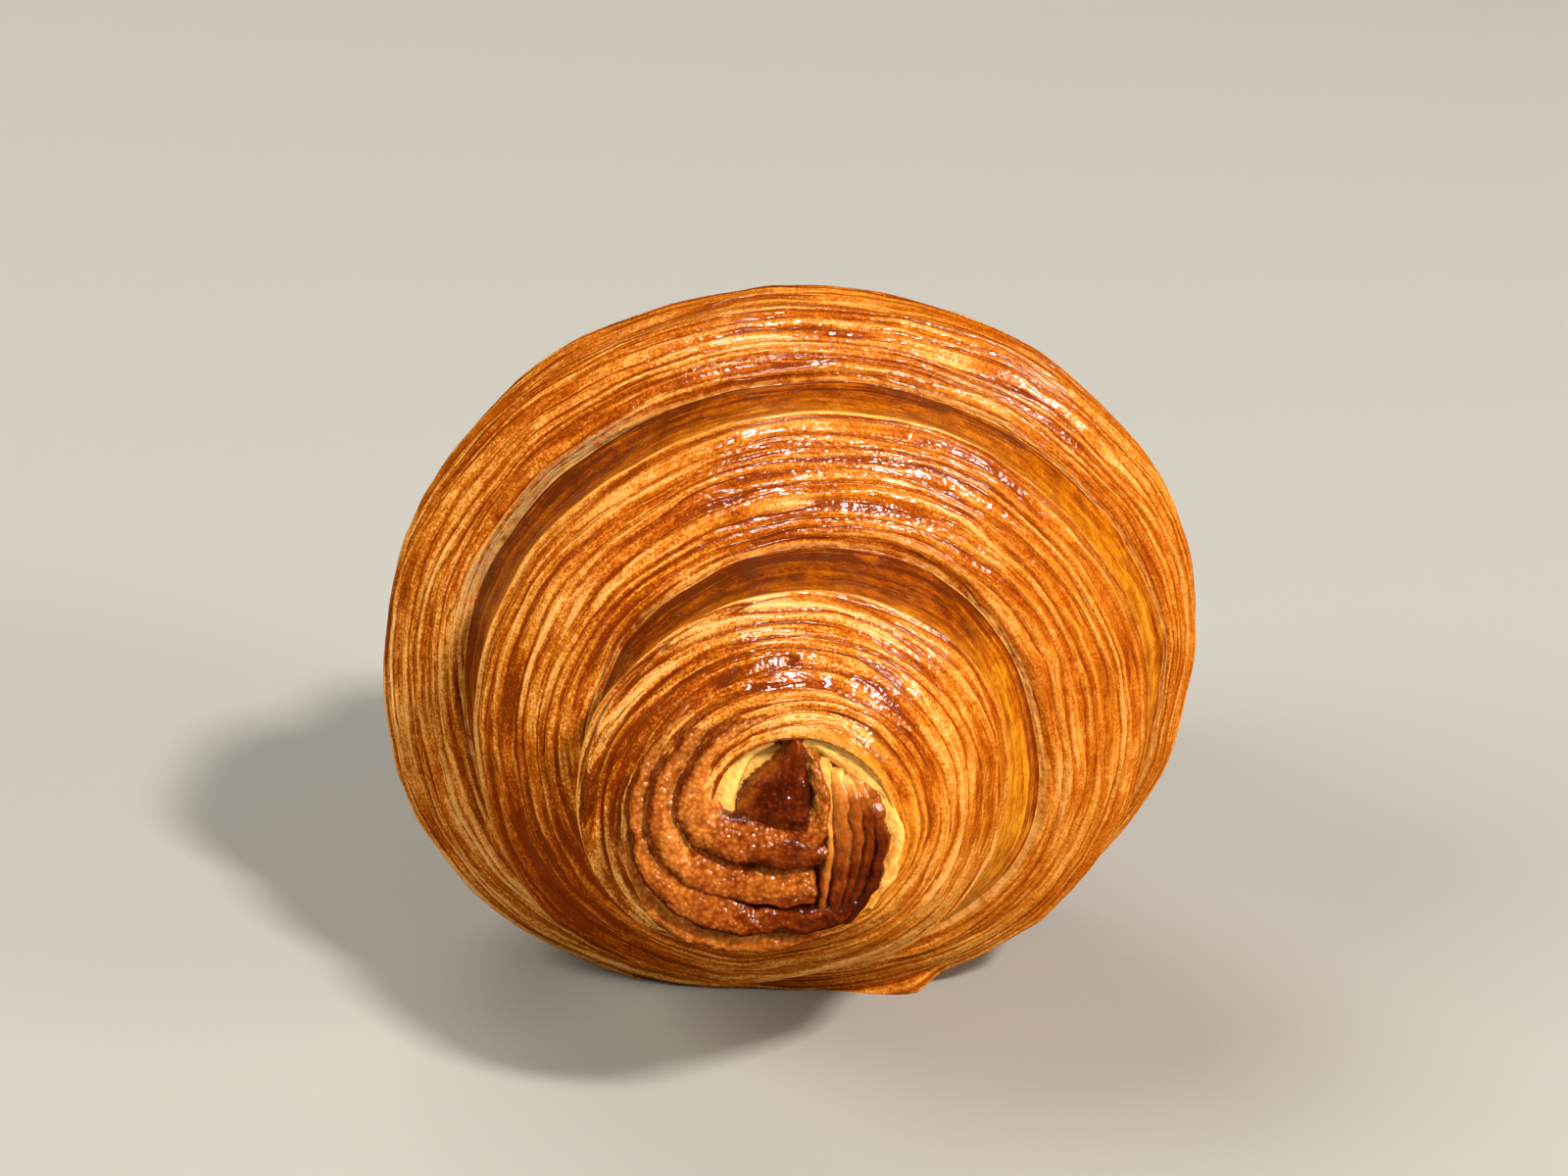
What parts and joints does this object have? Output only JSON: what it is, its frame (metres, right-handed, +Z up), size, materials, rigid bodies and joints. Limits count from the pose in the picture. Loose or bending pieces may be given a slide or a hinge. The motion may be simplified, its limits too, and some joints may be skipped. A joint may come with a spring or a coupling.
{
  "type": "croissant",
  "caption": "Stubby butter croissant, a rolled triangle of layered dough baked golden brown, with stepped layered edges and a curled eye at each horn.",
  "frame": {"origin": "bottom centre of the croissant's box, on the flat underside that it rests on", "axes": "+Z up, +Y along the roll from the horn that the picture shows to the hidden one, +X to the viewer's right"},
  "size_m": [0.0912, 0.1224, 0.0757],
  "materials": {
    "crust": "egg-washed baked crust, golden to dark brown, semi-gloss"
  },
  "bodies": {
    "root": {"croissant": "crust"}
  },
  "joints": []
}
